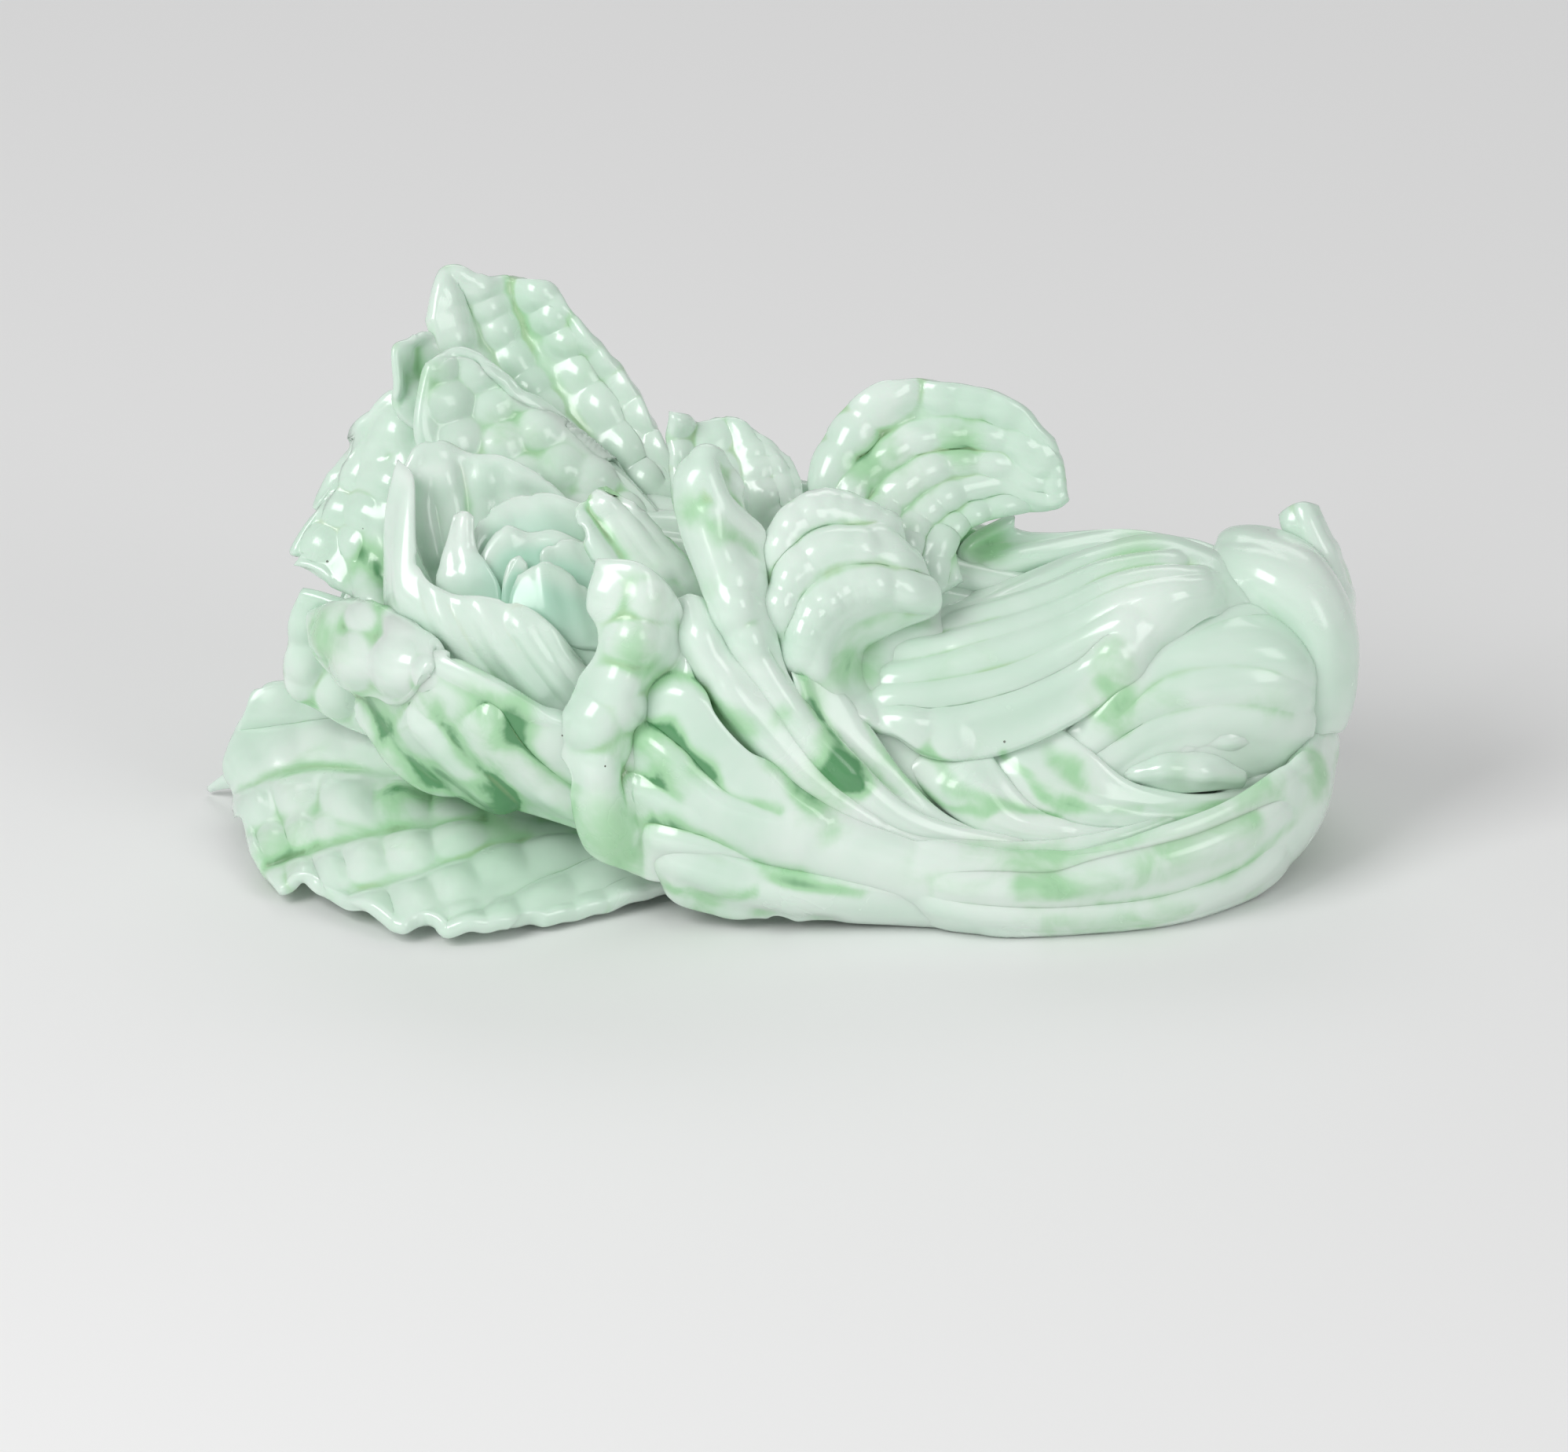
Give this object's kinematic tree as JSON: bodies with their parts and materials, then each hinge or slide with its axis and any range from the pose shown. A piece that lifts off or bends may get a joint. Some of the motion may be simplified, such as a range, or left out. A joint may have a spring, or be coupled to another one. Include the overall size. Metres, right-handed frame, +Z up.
{
  "type": "jade cabbage carving",
  "caption": "Carved jade cabbage lying on its side: an open heart of petals, ruffled and curled leaves, and ribbed stems that sweep round to the root end.",
  "frame": {"origin": "on the flat underside of the core, half way along the length and the depth of the carving", "axes": "+Z up, +X towards the root end, -X towards the open head, and +Y away from the side that the picture shows"},
  "size_m": [0.1699, 0.075, 0.0817],
  "materials": {
    "pale_jade": "polished, pale milky green-white",
    "mint_jade": "polished, mint green-white with green patches",
    "green_jade": "polished, stronger apple-green patches"
  },
  "bodies": {
    "root": {"front_curl_leaf": "mint_jade", "low_front_leaf": "green_jade", "front_inner_leaf": "pale_jade", "small_curl_leaf": "mint_jade", "stem_leaf_low": "green_jade", "stem_leaf_middle": "pale_jade", "stem_leaf_high": "mint_jade", "small_leaf_lower": "mint_jade", "small_leaf_upper": "pale_jade", "swept_curl_leaf": "pale_jade", "belly_leaf": "mint_jade", "front_left_leaf": "green_jade", "spread_leaf": "mint_jade", "outer_petal_front": "pale_jade", "spike_petal": "pale_jade", "heart_petal_low": "mint_jade", "heart_petal_front": "pale_jade", "heart_petal_left": "green_jade", "heart_petal_right": "green_jade", "inner_ring_petal": "mint_jade", "ring_petal": "green_jade", "outer_petal_back": "mint_jade", "jagged_petal": "green_jade", "mid_back_leaf": "mint_jade", "left_low_leaf": "green_jade", "left_scalloped_leaf": "pale_jade", "second_back_leaf": "mint_jade", "back_fold_leaf": "green_jade", "tall_back_leaf": "pale_jade", "end_leaf": "pale_jade", "end_stalk": "mint_jade", "fan_leaf": "mint_jade", "rear_stalk_leaf": "mint_jade", "rear_wall_leaf": "green_jade", "rear_top_leaf": "mint_jade", "rear_fan_leaf": "pale_jade", "rear_left_leaf": "mint_jade", "core": "mint_jade"}
  },
  "joints": []
}
